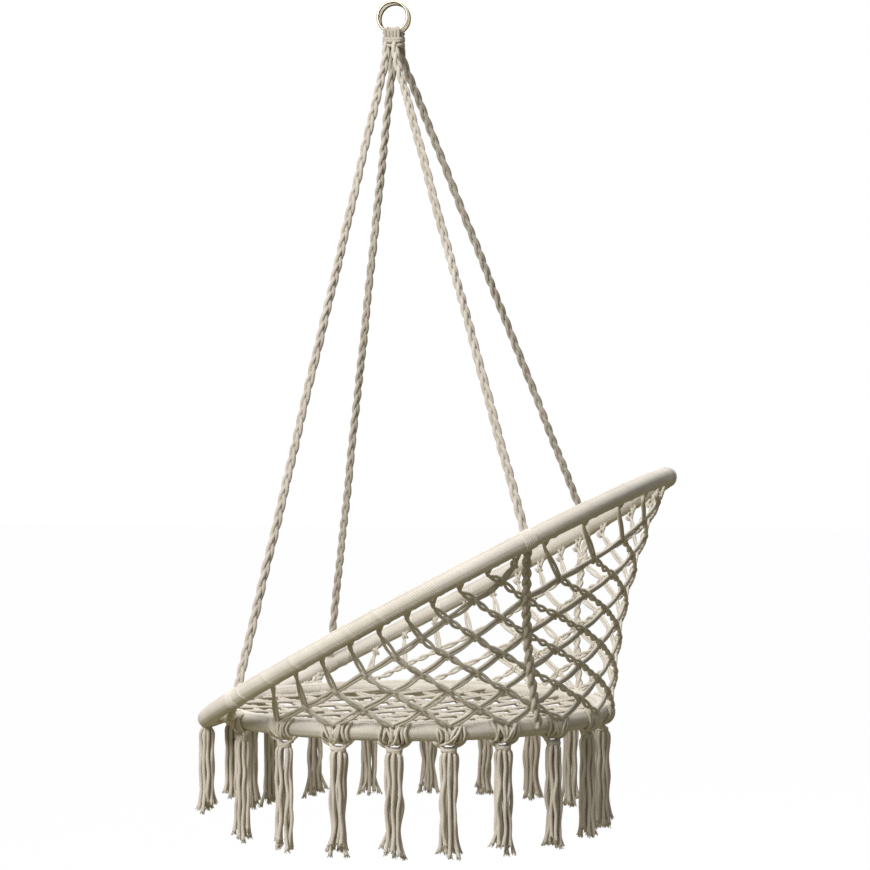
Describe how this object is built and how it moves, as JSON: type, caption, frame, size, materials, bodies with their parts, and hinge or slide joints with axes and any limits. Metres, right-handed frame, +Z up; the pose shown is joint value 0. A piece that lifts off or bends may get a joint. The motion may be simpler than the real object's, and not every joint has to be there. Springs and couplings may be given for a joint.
{
  "type": "hammock chair",
  "caption": "Hanging hammock chair: a netted round seat hoop fringed with tassels, a tilted rim hoop, a knotted back net, and ropes gathered up to hanging rings.",
  "frame": {"origin": "the hook point: inside of the hanging rings' top, midway between the two rings", "axes": "+Z up, -X towards the low front of the seat, +X towards the high back, -Y the near side of the seat seen with its front to the left"},
  "size_m": [0.707, 0.7997, 1.2347],
  "materials": {
    "cotton_cord": "soft twisted cotton cord, undyed",
    "net_cord": "knotted cotton cord in pairs, undyed and slightly shaded",
    "ring_steel": "polished nickel plate with a warm tone",
    "tube_steel": "plain tube, hidden inside the winding"
  },
  "bodies": {
    "rings": {"ring_far": "ring_steel", "ring_near": "ring_steel"},
    "cord_loops": {"gather_far": "net_cord", "gather_near": "net_cord", "ring_loop_far": "cotton_cord", "ring_loop_near": "cotton_cord"},
    "chair": {"back_net_back_far": "net_cord", "back_net_back_near": "net_cord", "back_net_far_back": "net_cord", "back_net_far_front": "net_cord", "back_net_far_middle": "net_cord", "back_net_near_back": "net_cord", "back_net_near_front": "net_cord", "back_net_near_middle": "net_cord", "rim_hoop": "tube_steel", "rim_winding_back": "cotton_cord", "rim_winding_far": "cotton_cord", "rim_winding_front": "cotton_cord", "rim_winding_near": "cotton_cord", "rope_far_back": "cotton_cord", "rope_far_front": "cotton_cord", "rope_hitch_far_back": "net_cord", "rope_hitch_far_front": "net_cord", "rope_hitch_near_back": "net_cord", "rope_hitch_near_front": "net_cord", "rope_near_back": "cotton_cord", "rope_near_front": "cotton_cord", "seat_hoop": "tube_steel", "seat_net": "cotton_cord", "seat_winding_back": "cotton_cord", "seat_winding_far": "cotton_cord", "seat_winding_front": "cotton_cord", "seat_winding_near": "cotton_cord", "stay_far_back": "net_cord", "stay_far_front": "net_cord", "stay_near_back": "net_cord", "stay_near_front": "net_cord", "tassel_01": "cotton_cord", "tassel_02": "cotton_cord", "tassel_03": "cotton_cord", "tassel_04": "cotton_cord", "tassel_05": "cotton_cord", "tassel_06": "cotton_cord", "tassel_07": "cotton_cord", "tassel_08": "cotton_cord", "tassel_09": "cotton_cord", "tassel_10": "cotton_cord", "tassel_11": "cotton_cord", "tassel_12": "cotton_cord", "tassel_13": "cotton_cord", "tassel_14": "cotton_cord", "tassel_15": "cotton_cord", "tassel_16": "cotton_cord", "tassel_17": "cotton_cord", "tassel_18": "cotton_cord", "tassel_19": "cotton_cord", "tassel_20": "cotton_cord"}
  },
  "joints": [
    {"name": "fore_aft_swing", "type": "hinge", "parent": "rings", "child": "cord_loops", "pos_m": [0, 0, -0.0206], "axis": [0, 1, 0], "range_deg": [-20, 20]},
    {"name": "side_swing", "type": "hinge", "parent": "cord_loops", "child": "chair", "pos_m": [0, 0, -0.0434], "axis": [1, 0, 0], "range_deg": [-15, 15]}
  ]
}
